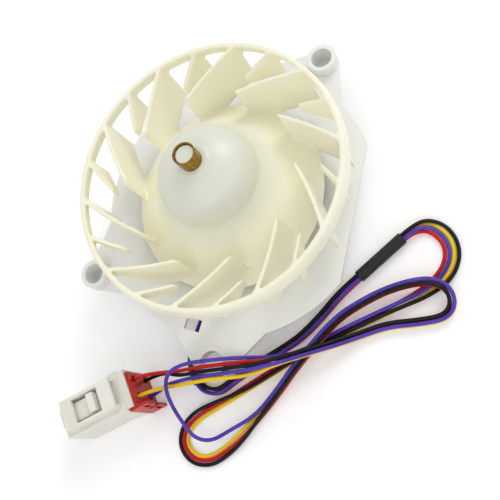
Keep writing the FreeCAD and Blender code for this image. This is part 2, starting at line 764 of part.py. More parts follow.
def screws(label, circle, azimuths, head_radius, head, shank_radius, length, bottom):
    """A set of like screws, heads down."""
    body = new_body(label)
    for index, azimuth in enumerate(azimuths):
        place = polar(circle, azimuth)
        raise_up(body, "Head%d" % index, lambda sketch: circle_in(sketch, place, head_radius),
                 bottom, bottom + head)
        raise_up(body, "Shank%d" % index, lambda sketch: circle_in(sketch, place, shank_radius),
                 bottom + head, bottom + head + length)
        arms = head_radius * 1.1
        half_drive = screw_drive_width * 0.5
        sink(body, "Drive%d" % index, lambda sketch: outline(sketch, rectangle(
            place[0] - arms * 0.5, place[0] + arms * 0.5, place[1] - half_drive, place[1] + half_drive)),
            bottom + head * 0.5, bottom)
    return body


screws("cover_screws", cover_screw_circle, screw_places, cover_screw_head_radius,
       cover_screw_head - head_inset, cover_screw_radius, cover_screw_length, head_inset)
screws("board_screws", standoff_circle, standoff_places, board_screw_head_radius, board_screw_head,
       board_screw_radius, board_thickness + 2.6, board_bottom - board_screw_head)

# Circuit board
board = new_body("circuit_board")
raise_up(board, "BoardDisc", lambda sketch: circle_in(sketch, (zero, zero), board_radius),
         board_bottom, board_top)
sink(board, "BoardHole", lambda sketch: circle_in(sketch, (zero, zero), board_hole_radius),
     board_top, board_bottom)
for index, azimuth in enumerate(standoff_places):
    place = polar(standoff_circle, azimuth)
    sink(board, "BoardScrewHole%d" % index, lambda sketch: circle_in(
        sketch, place, board_screw_radius + screw_clearance), board_top, board_bottom)
sink(board, "BoardKey", lambda sketch: outline(sketch, slab(
    board_radius, 330.0, as_size(3.0), as_size(4.0))), board_top, board_bottom)


def block(label, low, high):
    """A plain block between two corners."""
    body = new_body(label)
    raise_up(body, "Block", lambda sketch: outline(sketch, rectangle(
        low[0], high[0], low[1], high[1])), low[2], high[2])
    return body


chip_x = board_radius * 0.3
chip = block("driver_chip", (chip_x, -(chip_width * 0.5) - 12, board_bottom - chip_height),
             (chip_x + chip_length, chip_width * 0.5 - 12, board_bottom))
capacitor = new_body("filter_capacitor")
capacitor_place = polar(board_radius * 0.55, 35.0)
raise_up(capacitor, "Can", lambda sketch: circle_in(sketch, capacitor_place, capacitor_radius),
         board_bottom - capacitor_length, board_bottom)
hall = new_body("hall_sensor")
raise_up(hall, "HallBody", lambda sketch: outline(sketch, slab(
    magnet_outer - magnet_wall * 0.5, hall_azimuth, hall_width, hall_length)),
    board_top, board_top + hall_height)

# Stator core: six teeth with shoes round a ring
core = new_body("stator_core")
stator_top = stator_bottom + stator_height
core_bore = tube_radius + screw_clearance


def ring_plan(outer, inner):
    def draw(sketch):
        circle_in(sketch, (zero, zero), outer)
        circle_in(sketch, (zero, zero), inner)
    return draw


raise_up(core, "CoreRing", ring_plan(stator_radius, stator_radius - tooth_shoe_depth),
         stator_bottom, stator_top)
for index in range(tooth_count):
    sink(core, "ShoeGap%d" % index, lambda sketch: outline(sketch, slab(
        stator_radius, 30.0 + index * 360.0 / tooth_count, tooth_shoe_depth * 3, tooth_shoe_gap)),
        stator_top, stator_bottom)
raise_up(core, "CoreHub", ring_plan(stator_ring_radius, core_bore), stator_bottom, stator_top)
tooth_inner = stator_ring_radius - 0.5
tooth_outer = stator_radius - tooth_shoe_depth * 0.5
for index in range(tooth_count):
    azimuth = index * 360.0 / tooth_count
    raise_up(core, "Tooth%d" % index, lambda sketch: outline(sketch, slab(
        (tooth_inner + tooth_outer) * 0.5, azimuth, tooth_outer - tooth_inner, tooth_width)),
        stator_bottom, stator_top)

# Insulators: a flanged collar over each end of the core
def insulator(label, face, outward, bore):
    body = new_body(label)
    far = face + insulator_height if outward > 0 else face - insulator_height
    near_wall = face + insulator_wall if outward > 0 else face - insulator_wall
    low, high = (face, far) if outward > 0 else (far, face)
    wall_low, wall_high = (face, near_wall) if outward > 0 else (near_wall, face)
    raise_up(body, "Collar", ring_plan(bore + 1.0, bore), low, high)
    raise_up(body, "Disc", ring_plan(bore + 1.6, bore), wall_low, wall_high)
    arm_start = bore + 1.0
    for index in range(tooth_count):
        azimuth = index * 360.0 / tooth_count
        raise_up(body, "Arm%d" % index, lambda sketch: outline(sketch, slab(
            (arm_start + tooth_outer) * 0.5, azimuth, tooth_outer - arm_start, tooth_width)),
            wall_low, wall_high)
        raise_up(body, "Fence%d" % index, lambda sketch: outline(sketch, slab(
            tooth_outer + 0.2, azimuth, as_size(0.8), tooth_width * 1.8)), low, high)
    return body


insulator("upper_insulator", stator_top, 1, tube_radius + screw_clearance)
insulator("lower_insulator", stator_bottom, -1, stator_shoulder_radius + screw_clearance)

# Coils: one winding round each tooth
coils = new_body("stator_coils")
coil_inner = stator_shoulder_radius + 1.9
coil_outer = stator_radius - tooth_shoe_depth - coil_ring_gap
coil_low = stator_bottom - insulator_wall - coil_thickness
coil_high = stator_top + insulator_wall + coil_thickness
for index in range(tooth_count):
    azimuth = index * 360.0 / tooth_count
    middle = (coil_inner + coil_outer) * 0.5
    depth = coil_outer - coil_inner
    raise_up(coils, "Winding%d" % index, lambda sketch: outline(sketch, slab(
        middle, azimuth, depth, tooth_width + coil_thickness * 2)), coil_low, coil_high)
    sink(coils, "Core%d" % index, lambda sketch: outline(sketch, slab(
        middle, azimuth, depth + 1.0, tooth_width + coil_gap)),
        stator_top + insulator_wall, stator_bottom - insulator_wall)


# Wires and sleeves
wire_radius = named("wire_radius", 0.8)
sleeve_outer_radius = named("sleeve_outer_radius", 2.55)
sleeve_inner_radius = named("sleeve_inner_radius", 2.25)
run_share = 0.45


def cord_path(points):
    """Straight runs joined by tangent arcs, each as large as its two runs allow, and the arcs' radii."""
    places = [Vector(*point) for point in points]
    edges = []
    radii = []
    start = places[0]
    for before, corner, after in zip(places, places[1:], places[2:]):
        back = (before - corner).normalize()
        ahead = (after - corner).normalize()
        shorter = min((before - corner).Length, (after - corner).Length)
        half_turn = (math.pi - back.getAngle(ahead)) / 2.0
        cut = run_share * shorter
        radius = cut / math.tan(half_turn)
        radii.append(radius)
        first = corner + back * cut
        last = corner + ahead * cut
        inward = (back + ahead).normalize()
        middle = corner + inward * (radius / math.cos(half_turn) - radius)
        edges.append(Part.LineSegment(start, first).toShape())
        edges.append(Part.Arc(first, middle, last).toShape())
        start = last
    edges.append(Part.LineSegment(start, places[-1]).toShape())
    return Part.Wire(edges), radii


def swept(path, radius):
    """A round bar along a path."""
    start = path.Edges[0].valueAt(path.Edges[0].FirstParameter)
    heading = path.Edges[0].tangentAt(path.Edges[0].FirstParameter)
    section = Part.Wire(Part.makeCircle(radius, start, heading))
    return path.makePipeShell([section], True, True)


def wire(label, points):
    """One insulated wire of the harness."""
    path, radii = cord_path(points)
    item = doc.addObject("Part::Feature", label.title().replace("_", ""))
    item.Label = label
    item.Shape = swept(path, wire_radius.number)
    expected = math.pi * wire_radius.number ** 2 * path.Length
    print("%s length %.0f, smallest radius %.1f, volume share %.3f, radii %s" % (
        label, path.Length, min(radii), item.Shape.Volume / expected, " ".join("%.0f" % r for r in radii)))


def sleeve(label, points):
    """A thin tube round the four wires."""
    path = cord_path(points)[0]
    item = doc.addObject("Part::Feature", label.title().replace("_", ""))
    item.Label = label
    item.Shape = swept(path, sleeve_outer_radius.number).cut(swept(path, sleeve_inner_radius.number))


# Route of each wire: board, exit sleeve, middle sleeve, upper loop, lower loop, second loop, connector
black_route = [
    (-25.9, -10.1, 6), (-35.5, -12.9, 5.6), (-44.8, -15.5, 6), (-53.8, -17.5, 5.5),
    (-60.9, -19.4, 5.2), (-66, -22.3, 4.7), (-69.8, -26.3, 4.3), (-72.6, -32.2, 3.7),
    (-69.9, -37.9, 3.2), (-63, -40.2, 2.8), (-52.1, -44.6, 2.6), (-43.1, -49.2, 2.6),
    (-32.7, -53.9, 2.6), (-21.3, -56.3, 2.8), (-9.3, -57.9, 3.5), (4.7, -61.7, 3.5),
    (16.2, -64.8, 3.5), (27.4, -67.8, 3.5), (33.9, -71, 2.4), (35.9, -78.3, 1.2),
    (33, -85.7, 1.2), (26.5, -90.8, 1.2), (17.6, -92, 1.2), (7.6, -88.3, 2.4),
    (-4.5, -79.6, 2.6), (-16.5, -72, 2.6), (-28.4, -65, 2.6), (-39.4, -59, 2.6),
    (-50.8, -53.6, 2.6), (-62.4, -48.2, 2.6), (-72.6, -41.1, 2.7), (-81.9, -34.6, 1.8),
    (-90.6, -32.5, 0.9), (-98.3, -36.2, 0.9), (-100.7, -44.6, 0.9), (-96.7, -52.3, 0.9),
    (-89.2, -56.2, 0.9), (-79.9, -58.5, 2.2), (-68.6, -59.1, 2.6), (-55.1, -60.5, 3.3),
    (-42.1, -61.7, 6.3), (-19.7, -64.5, 6.3), (-8.4, -68.8, 3.9), (1, -74.5, 4.5),
    (8.1, -81, 5.5), (12.7, -87, 5.7), (13.5, -93.1, 5.3), (9.8, -97.1, 3.5),
    (4.7, -96.9, 2.6), (-1.7, -90, 2.6), (-9.2, -80.5, 2.6), (-18.7, -73.5, 2.9),
    (-27.9, -67.5, 8.1), (-36.9, -60.7, 11.7), (-45.4, -54.1, 14.1), (-53, -47.8, 17.4),
    (-60.1, -39.6, 17.4), (-66.7, -31.8, 17.2), (-72.9, -25.1, 14.8), (-76.6, -16.6, 9.6),
    (-83.7, -9.5, 4.9), (-90.6, -5.5, 4.9),
]
red_route = [
    (-27, -6.5, 6), (-36.6, -9.3, 5.6), (-45.7, -11.8, 4.2), (-54.2, -15.7, 3.7),
    (-61.5, -17.8, 3.4), (-67.2, -20.9, 2.9), (-71.4, -25.3, 2.5), (-74.6, -32.2, 1.9),
    (-71.3, -39.3, 1.4), (-63.6, -41.8, 1), (-52.9, -46.2, 0.8), (-43.9, -50.8, 0.8),
    (-33.3, -55.7, 0.8), (-21.7, -58.1, 1), (-9.7, -59.7, 1.7), (4.3, -63.4, 1.7),
    (15.8, -66.5, 1.7), (26.6, -69.4, 1.7), (30.2, -73.3, 0.9), (30.4, -77.7, 0.8),
    (28.6, -82.4, 0.8), (24.3, -85.7, 0.8), (18, -86.6, 0.8), (9.2, -84.6, 0.9),
    (-3.5, -78, 0.8), (-15.5, -70.4, 0.8), (-27.6, -63.4, 0.8), (-38.6, -57.4, 0.8),
    (-50, -52, 0.8), (-61.6, -46.6, 0.8), (-72.8, -41.4, 0.9), (-82.6, -36.3, 0.9),
    (-90.4, -34.4, 0.9), (-96.8, -37.4, 0.9), (-98.8, -44.4, 0.9), (-95.4, -51, 0.9),
    (-88.6, -54.6, 0.9), (-79.6, -57.3, 0.9), (-68.6, -59.1, 0.8), (-55.1, -60.5, 1.5),
    (-42.1, -61.7, 4.5), (-19.7, -64.5, 4.5), (-8.4, -68.8, 2.1), (1, -74.5, 2.7),
    (8.1, -81, 3.7), (12.7, -87, 3.9), (13.5, -93.1, 3.5), (9.8, -97.1, 1.7),
    (4.7, -96.9, 0.8), (-1.7, -90, 0.8), (-9.2, -80.5, 0.8), (-18.7, -73.5, 1.1),
    (-27.9, -67.5, 6.3), (-36.9, -60.7, 9.9), (-45.4, -54.1, 12.3), (-51.7, -46.5, 15.6),
    (-58.8, -38.4, 17.4), (-65.4, -30.6, 17.2), (-71.5, -23.8, 14.8), (-77, -16.4, 12.8),
    (-83.7, -9.5, 14.7), (-90.6, -5.5, 14.7),
]
purple_route = [
    (-26.5, -8.3, 6), (-36.1, -11.1, 5.6), (-45.2, -13.7, 6), (-54.2, -15.7, 5.5),
    (-61.5, -17.8, 5.2), (-67.2, -20.9, 4.7), (-71.4, -25.3, 4.3), (-74.6, -32.2, 3.7),
    (-71.3, -39.3, 3.2), (-63.6, -41.8, 2.8), (-52.9, -46.2, 2.6), (-43.9, -50.8, 2.6),
    (-33.3, -55.7, 2.6), (-21.7, -58.1, 2.8), (-9.7, -59.7, 3.5), (4.3, -63.4, 3.5),
    (15.8, -66.5, 3.5), (26.6, -69.4, 3.5), (31.5, -72.5, 2.4), (32.3, -77.9, 0.8),
    (30.1, -83.5, 0.8), (25.1, -87.4, 0.8), (17.8, -88.4, 0.8), (8.6, -85.9, 2.4),
    (-3.5, -78, 2.6), (-15.5, -70.4, 2.6), (-27.6, -63.4, 2.6), (-38.6, -57.4, 2.6),
    (-46.2, -50.6, 9), (-52.4, -42.9, 16.8), (-60.4, -33.2, 18.4), (-67.2, -25.8, 19.5),
    (-74, -21.6, 18.8), (-80.6, -23.4, 15.5), (-85.8, -28.6, 10), (-89.4, -35.6, 5.6),
    (-90.8, -41.8, 4.6), (-88, -47.6, 2.4), (-80, -51.6, 2.8), (-68.4, -57.3, 2.6),
    (-54.9, -58.7, 3.3), (-41.9, -59.9, 6.3), (-19.3, -62.7, 6.3), (-7.6, -67.2, 3.9),
    (2, -73.1, 4.5), (9.5, -79.8, 5.5), (14.5, -86.2, 5.7), (15.3, -93.7, 5.3),
    (10.6, -98.9, 3.5), (3.9, -98.7, 2.6), (-3.1, -91.2, 2.6), (-10.4, -81.9, 2.6),
    (-19.7, -74.9, 2.9), (-28.9, -68.9, 8.1), (-37.9, -62.1, 11.7), (-46.6, -55.5, 14.1),
    (-54.2, -49, 17.4), (-61.5, -40.8, 17.4), (-68.1, -33, 17.2), (-74.3, -26.5, 14.8),
    (-80, -19.8, 8.2), (-87.5, -16.1, 4.9), (-94.4, -12.1, 4.9),
]
yellow_route = [
    (-25.4, -11.9, 6), (-35, -14.7, 5.6), (-44.3, -17.4, 4.2), (-53.8, -17.5, 3.7),
    (-60.9, -19.4, 3.4), (-66, -22.3, 2.9), (-69.8, -26.3, 2.5), (-72.6, -32.2, 1.9),
    (-69.9, -37.9, 1.4), (-63, -40.2, 1), (-52.1, -44.6, 0.8), (-43.1, -49.2, 0.8),
    (-32.7, -53.9, 0.8), (-21.3, -56.3, 1), (-9.3, -57.9, 1.7), (4.7, -61.7, 1.7),
    (16.2, -64.8, 1.7), (27.4, -67.8, 1.7), (32.9, -71.6, 0.8), (34.1, -78.1, 0.8),
    (31.6, -84.6, 0.8), (25.8, -89.1, 0.8), (17.7, -90.2, 0.8), (8, -87.3, 0.8),
    (-4.5, -79.6, 0.8), (-16.5, -72, 0.8), (-28.4, -65, 0.8), (-39.4, -59, 0.8),
    (-50.8, -53.6, 0.8), (-62.4, -48.2, 0.8), (-73.6, -42.9, 0.9), (-83.3, -38, 0.9),
    (-90.2, -36.3, 0.9), (-95.3, -38.7, 0.9), (-96.9, -44.2, 0.9), (-94.1, -49.7, 0.9),
    (-88, -52.9, 0.9), (-79.2, -55.2, 0.9), (-68.4, -57.3, 0.8), (-54.9, -58.7, 1.5),
    (-41.9, -59.9, 4.5), (-19.3, -62.7, 4.5), (-7.6, -67.2, 2.1), (2, -73.1, 2.7),
    (9.5, -79.8, 3.7), (14.5, -86.2, 3.9), (15.3, -93.7, 3.5), (10.6, -98.9, 1.7),
    (3.9, -98.7, 0.8), (-3.1, -91.2, 0.8), (-10.4, -81.9, 0.8), (-19.7, -74.9, 1.1),
    (-28.9, -68.9, 6.3), (-37.9, -62.1, 9.9), (-46.6, -55.5, 12.3), (-55.5, -50.3, 15.6),
    (-62.8, -42, 17.4), (-69.4, -34.2, 17.2), (-75.7, -27.8, 14.8), (-80.2, -21.8, 11.6),
    (-87.5, -16.1, 14.7), (-94.4, -12.1, 14.7),
]


wire("black_wire", black_route)
wire("red_wire", red_route)
wire("purple_wire", purple_route)
wire("yellow_wire", yellow_route)
exit_sleeve_route = [(-57.3, -17.5, 4.46), (-61.2, -18.6, 4.3), (-66.6, -21.6, 3.8), (-70.6, -25.8, 3.4),
                     (-72.2, -29.2, 3.1)]
mid_sleeve_route = [(0.4, -61.45, 2.6), (22.8, -67.48, 2.6)]
sleeve("exit_sleeve", exit_sleeve_route)
sleeve("mid_sleeve", mid_sleeve_route)

# Connector: it lies latch up, its own x from the mating face to the wires and its own y up
connector_length = named("connector_length", 33.0)
connector_half_height = named("connector_half_height", 9.8)
connector_width = named("connector_width", 15.2)
connector_turn = -30.0
connector_front = (-113.5, 12.08)
shell_wall = named("shell_wall", 0.9)
post_width = named("post_width", 5.6)
post_height = named("post_height", 7.4)
post_depth = named("post_depth", 11.0)
post_lead = named("post_lead", 0.8)
row_offset = named("row_offset", 4.9)
socket_height = named("socket_height", 8.0)
socket_width = named("socket_width", 7.6)
socket_depth = named("socket_depth", 11.0)
slot_length = named("slot_length", 3.2)
slot_height = named("slot_height", 2.4)
wire_bore_radius = named("wire_bore_radius", 1.5)
wire_bore_depth = named("wire_bore_depth", 9.0)
step_rise = named("step_rise", 0.45)
latch_rise = named("latch_rise", 5.4)
latch_rail = named("latch_rail", 1.4)
retainer_thickness = named("retainer_thickness", 1.3)
retainer_reach = named("retainer_reach", 5.2)
contact_radius = named("contact_radius", 0.7)


def box_plan(x_low, x_high, y_low, y_high):
    corners = rectangle(as_size(x_low), as_size(x_high), as_size(y_low), as_size(y_high))
    return lambda sketch: outline(sketch, corners)


def seat(body):
    """Turns a connector piece to where the connector lies, and lifts it by half its height."""
    heading = FreeCAD.Rotation(Vector(0, 0, 1), connector_turn)
    latch_up = FreeCAD.Rotation(Vector(1, 0, 0), 90.0)
    place = Vector(connector_front[0], connector_front[1], connector_half_height.number)
    body.Placement = FreeCAD.Placement(place, heading.multiply(latch_up))
    body.setExpression("Placement.Base.z", connector_half_height.words)


def bore_along(body, name, y, z, radius, x_start, x_end):
    """A round hole along the connector, towards its mating face."""
    before = volume_of(body)
    sketch = sketch_in(body, name + "Plan", "YZ_Plane", x_start)
    circle_in(sketch, (y, z), radius)
    feature = body.newObject("PartDesign::Pocket", name)
    feature.Profile = sketch
    feature.setExpression("Length", (as_size(x_start) - as_size(x_end)).words)
    sketch.Visibility = False
    if volume_of(body) >= before - 1e-3:
        raise RuntimeError("%s cuts nothing" % name)


half = connector_half_height
width = connector_width
rows = (("Left", -row_offset), ("Right", row_offset))
left_z = post_width * 0.5
right_low = width - shell_wall - socket_width
right_z = right_low + socket_width * 0.5
block_low = right_low - shell_wall
collar_x = connector_length * 0.7
housing = new_body("connector_housing")
raise_up(housing, "RearBlock", box_plan(post_depth, connector_length, -half, half), zero, width)
raise_up(housing, "SocketBlock", box_plan(post_lead, post_depth + 1.0, -half, half), block_low, width)
for name, y in rows:
    post_edges = (y - post_height * 0.5, y + post_height * 0.5)
    slot_edges = (y - slot_length * 0.5, y + slot_length * 0.5)
    raise_up(housing, name + "Post", box_plan(0, post_depth + 1.0, post_edges[0], post_edges[1]),
             zero, post_width)
    sink(housing, name + "Socket", box_plan(post_lead - 1.0, post_lead + socket_depth,
                                            y - socket_height * 0.5, y + socket_height * 0.5),
         right_low + socket_width, right_low)
    sink(housing, name + "Slot", box_plan(-1.0, post_depth - 1.0, slot_edges[0], slot_edges[1]),
         left_z + slot_height * 0.3, left_z - slot_height * 0.3)
    sink(housing, name + "SlotHead", box_plan(-1.0, post_depth - 1.0, y + slot_length * 0.1, slot_edges[1]),
         left_z + slot_height * 0.5, left_z - slot_height * 0.5)
    for column, z in (("Lower", width * 0.25), ("Upper", width * 0.75)):
        bore_along(housing, name + column + "WireBore", y, z, wire_bore_radius,
                   connector_length, connector_length - wire_bore_depth)
raise_up(housing, "FirstStep", box_plan(collar_x, connector_length, -half, half + step_rise),
         -step_rise, width + step_rise)
raise_up(housing, "SecondStep", box_plan(collar_x + 3.0, connector_length - 3.0, -half, half + step_rise * 2),
         -step_rise * 2, width + step_rise * 2)
rail_low = 1.2
raise_up(housing, "LowerRail", box_plan(4.0, collar_x + 5.0, half, half + latch_rise),
         rail_low, latch_rail + rail_low)
raise_up(housing, "UpperRail", box_plan(4.0, collar_x + 5.0, half, half + latch_rise),
         width - rail_low - latch_rail, width - rail_low)
hood_low = half + latch_rise - latch_rail
raise_up(housing, "Hood", box_plan(4.0, 9.5, hood_low, half + latch_rise),
         as_size(rail_low), width - rail_low)
raise_up(housing, "RearGuard", box_plan(collar_x - 1.0, collar_x + 5.0, hood_low, half + latch_rise),
         as_size(rail_low), width - rail_low)
lever_low = rail_low + latch_rail + 1.2
raise_up(housing, "LatchLever", box_plan(2.0, collar_x - 3.0, half + 1.6, half + 3.0),
         lever_low, width - lever_low)
raise_up(housing, "LatchRoot", box_plan(2.0, 3.6, half - 0.5, half + 3.0), lever_low, width - lever_low)
raise_up(housing, "LatchPad", box_plan(collar_x - 6.0, collar_x - 3.0, half + 1.6, half + latch_rise + 0.8),
         lever_low, width - lever_low)
for name, y in rows:
    for column, z in (("Lower", width * 0.25), ("Upper", width * 0.75)):
        bore_along(housing, name + column + "StepBore", y, z, wire_bore_radius,
                   connector_length + 0.5, connector_length - wire_bore_depth)
seat(housing)

# Retainer: a clip over the upper side and the wire end, with a holed loop for each row
retainer = new_body("connector_retainer")
clip_x = connector_length - 2.6
top_face = width + step_rise
raise_up(retainer, "EndPlate", box_plan(connector_length, connector_length + retainer_thickness,
                                        -half + 0.6, half - 0.6), as_size(1.0), top_face + retainer_thickness)
raise_up(retainer, "TopPlate", box_plan(clip_x, connector_length + retainer_reach, -half + 0.6, half - 0.6),
         top_face, top_face + retainer_thickness)
for name, y in rows:
    sink(retainer, name + "Loop", box_plan(connector_length + retainer_thickness + 0.9,
                                           connector_length + retainer_reach - 1.0, y - 2.4, y + 2.4),
         top_face + retainer_thickness, top_face)
    for column, z in (("Lower", width * 0.25), ("Upper", width * 0.75)):
        bore_along(retainer, name + column + "Pass", y, z, wire_bore_radius,
                   connector_length + retainer_thickness, connector_length)
gap_start = connector_length + retainer_thickness
gap_end = connector_length + retainer_reach + 1.0
sink(retainer, "MiddleGap", box_plan(gap_start, gap_end, -1.1, 1.1), top_face + retainer_thickness, top_face)
seat(retainer)

# Contacts: a pin in each socket and a spring contact in each post
terminals = new_body("connector_terminals")
pin_length = socket_depth * 0.35
for name, y in rows:
    for column, z, low in (("Pin", right_z, post_lead + socket_depth - pin_length),
                           ("Box", left_z, post_depth - 3.0)):
        high = post_lead + socket_depth if column == "Pin" else post_depth - 1.0
        sketch = sketch_in(terminals, name + column + "Plan", "YZ_Plane", low)
        circle_in(sketch, (as_size(y), z), contact_radius)
        pad = terminals.newObject("PartDesign::Pad", name + column)
        pad.Profile = sketch
        pad.setExpression("Length", (as_size(high) - low).words)
seat(terminals)

# Checks, then one file for each sub-part
doc.recompute()
for item in doc.Objects:
    for state in item.State:
        if state in ("Invalid", "Error"):
            raise RuntimeError("%s failed: %s" % (item.Label, item.State))
node_names = []
for item in doc.Objects:
    if item.TypeId == "PartDesign::Body" or item.TypeId == "Part::Feature":
        node_names.append(item)
os.makedirs("parts", exist_ok=True)
for item in node_names:
    if item.Shape.isNull() or not item.Shape.isValid():
        raise RuntimeError("%s has no valid shape" % item.Label)
for item in node_names:
    item.Shape.exportStep("parts/%s.step" % item.Label)
    print("%-22s solids %d volume %.1f" % (item.Label, len(item.Shape.Solids), item.Shape.Volume))
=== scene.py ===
import bpy
import bmesh
from mathutils import Matrix, Vector


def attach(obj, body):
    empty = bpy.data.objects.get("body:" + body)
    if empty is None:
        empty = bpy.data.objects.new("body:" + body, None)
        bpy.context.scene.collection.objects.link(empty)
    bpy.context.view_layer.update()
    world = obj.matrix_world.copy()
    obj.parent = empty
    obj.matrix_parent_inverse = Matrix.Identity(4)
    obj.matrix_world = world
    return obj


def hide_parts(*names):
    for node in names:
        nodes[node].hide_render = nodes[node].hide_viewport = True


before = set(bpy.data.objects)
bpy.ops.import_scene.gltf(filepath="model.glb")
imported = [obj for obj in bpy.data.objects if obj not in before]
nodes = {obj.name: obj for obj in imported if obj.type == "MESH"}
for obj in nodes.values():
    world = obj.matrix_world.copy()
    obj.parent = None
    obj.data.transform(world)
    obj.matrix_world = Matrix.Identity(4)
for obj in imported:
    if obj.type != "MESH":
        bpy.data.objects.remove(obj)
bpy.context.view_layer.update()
MM = 0.001
FINE_GRAIN = 0.00001
WIRE_RADIUS = 0.8 * MM
scene = bpy.context.scene
scene.view_settings.view_transform = "Standard"
scene.view_settings.look = "None"


# Colour and material helpers
def linear(r, g, b):
    """An sRGB colour of 0 to 255 as linear light."""
    def one(c):
        c = c / 255.0
        return c / 12.92 if c <= 0.04045 else ((c + 0.055) / 1.055) ** 2.4
    return (one(r), one(g), one(b), 1.0)


def new_material(name):
    """A material with its node tree and its shader."""
    m = bpy.data.materials.new(name)
    m.use_nodes = True
    tree = m.node_tree
    shader = tree.nodes["Principled BSDF"]
    return m, tree, shader


def add(tree, kind, **sockets):
    """A shader node with values in its sockets."""
    node = tree.nodes.new(kind)
    for key, value in sockets.items():
        node.inputs[key.replace("_", " ")].default_value = value
    return node


def place(tree, scale=(1, 1, 1)):
    """Object coordinates, stretched by scale."""
    where = tree.nodes.new("ShaderNodeTexCoord")
    mapping = tree.nodes.new("ShaderNodeMapping")
    mapping.inputs["Scale"].default_value = scale
    tree.links.new(where.outputs["Object"], mapping.inputs["Vector"])
    return mapping.outputs["Vector"]


def noise(tree, vector, scale, detail=3.0, rough=0.5):
    """A noise of scale waves a metre."""
    n = add(tree, "ShaderNodeTexNoise", Scale=scale, Detail=detail, Roughness=rough)
    tree.links.new(vector, n.inputs["Vector"])
    return n.outputs["Fac"]


def ramp(tree, value, low, high, at=(0.3, 0.7)):
    """Colours from low to high as the value goes across at."""
    r = tree.nodes.new("ShaderNodeValToRGB")
    r.color_ramp.elements[0].position = at[0]
    r.color_ramp.elements[0].color = low
    r.color_ramp.elements[1].position = at[1]
    r.color_ramp.elements[1].color = high
    tree.links.new(value, r.inputs["Fac"])
    return r.outputs["Color"]


def spread(tree, value, low, high):
    """Stretches the middle of a noise to low and high."""
    n = add(tree, "ShaderNodeMapRange")
    n.inputs["From Min"].default_value = 0.3
    n.inputs["From Max"].default_value = 0.7
    n.inputs["To Min"].default_value = low
    n.inputs["To Max"].default_value = high
    tree.links.new(value, n.inputs["Value"])
    return n.outputs["Result"]


def bumped(tree, shader, value, strength, distance, edge=0.0):
    """Surface relief, on edges softened by a radius."""
    bump = add(tree, "ShaderNodeBump", Strength=strength, Distance=distance)
    tree.links.new(value, bump.inputs["Height"])
    if edge:
        bevel = tree.nodes.new("ShaderNodeBevel")
        bevel.samples = 6
        bevel.inputs["Radius"].default_value = edge
        tree.links.new(bevel.outputs["Normal"], bump.inputs["Normal"])
    tree.links.new(bump.outputs["Normal"], shader.inputs["Normal"])


def plastic(name, light, dark, rough=(0.34, 0.44), glow=0.0, depth=(0.002, 0.0016, 0.001), edge=0.0003,
            grain=1400.0, grain_depth=0.00002, cloud=28.0):
    """Moulded plastic: a slow shift of tone, a fine satin grain and softened edges.

    glow is the share of light that goes into the plastic, and depth how far it gets, in metres.
    """
    m, tree, shader = new_material(name)
    at = place(tree)
    tone = ramp(tree, noise(tree, at, cloud, 4.0), dark, light, (0.35, 0.65))
    tree.links.new(tone, shader.inputs["Base Color"])
    satin = spread(tree, noise(tree, at, cloud * 9.0, 3.0), rough[0], rough[1])
    tree.links.new(satin, shader.inputs["Roughness"])
    bumped(tree, shader, noise(tree, at, grain, 2.0), 0.35, grain_depth, edge)
    shader.inputs["IOR"].default_value = 1.49
    if glow:
        shader.subsurface_method = "RANDOM_WALK"
        shader.inputs["Subsurface Weight"].default_value = glow
        shader.inputs["Subsurface Radius"].default_value = depth
        shader.inputs["Subsurface Scale"].default_value = 1.0
    return m


def paint_dome_light(m, colour, inner=0.019, outer=0.029):
    """Painted light: blends the moulding towards a whiter, less yellow tone on the dome and nose, standing
    in for the convex dome getting less bounced light than the hollows.

    The tone is full within the inner distance from the fan axis, and gone beyond the outer one.
    """
    tree = m.node_tree
    shader = tree.nodes["Principled BSDF"]
    link = shader.inputs["Base Color"].links[0]
    where = tree.nodes.new("ShaderNodeTexCoord")
    flat = tree.nodes.new("ShaderNodeVectorMath")
    flat.operation = "MULTIPLY"
    flat.inputs[1].default_value = (1, 1, 0)
    reach = tree.nodes.new("ShaderNodeVectorMath")
    reach.operation = "LENGTH"
    near = tree.nodes.new("ShaderNodeMapRange")
    near.inputs["From Min"].default_value = inner
    near.inputs["From Max"].default_value = outer
    near.inputs["To Min"].default_value = 1.0
    near.inputs["To Max"].default_value = 0.0
    # A colour mix has its colours in sockets 6 and 7, and gives its result in socket 2
    mix = tree.nodes.new("ShaderNodeMix")
    mix.data_type = "RGBA"
    tree.links.new(where.outputs["Object"], flat.inputs[0])
    tree.links.new(flat.outputs["Vector"], reach.inputs[0])
    tree.links.new(reach.outputs["Value"], near.inputs["Value"])
    tree.links.new(near.outputs["Result"], mix.inputs["Factor"])
    tree.links.new(link.from_socket, mix.inputs[6])
    mix.inputs[7].default_value = colour
    tree.links.new(mix.outputs[2], shader.inputs["Base Color"])


def metal(name, light, dark, rough=(0.25, 0.4), stretch=(1, 1, 1), scale=900.0, depth=0.00003, edge=0.00015):
    """Metal with tool or rolling lines: the noise is stretched along the lines."""
    m, tree, shader = new_material(name)
    at = place(tree, stretch)
    lines = noise(tree, at, scale, 4.0, 0.6)
    tree.links.new(ramp(tree, lines, dark, light), shader.inputs["Base Color"])
    tree.links.new(spread(tree, lines, rough[0], rough[1]), shader.inputs["Roughness"])
    shader.inputs["Metallic"].default_value = 1.0
    bumped(tree, shader, lines, 0.5, depth, edge)
    return m


def paint(node_name, material):
    """Gives a CAD node its finish."""
    data = nodes[node_name].data
    data.materials.clear()
    data.materials.append(material)


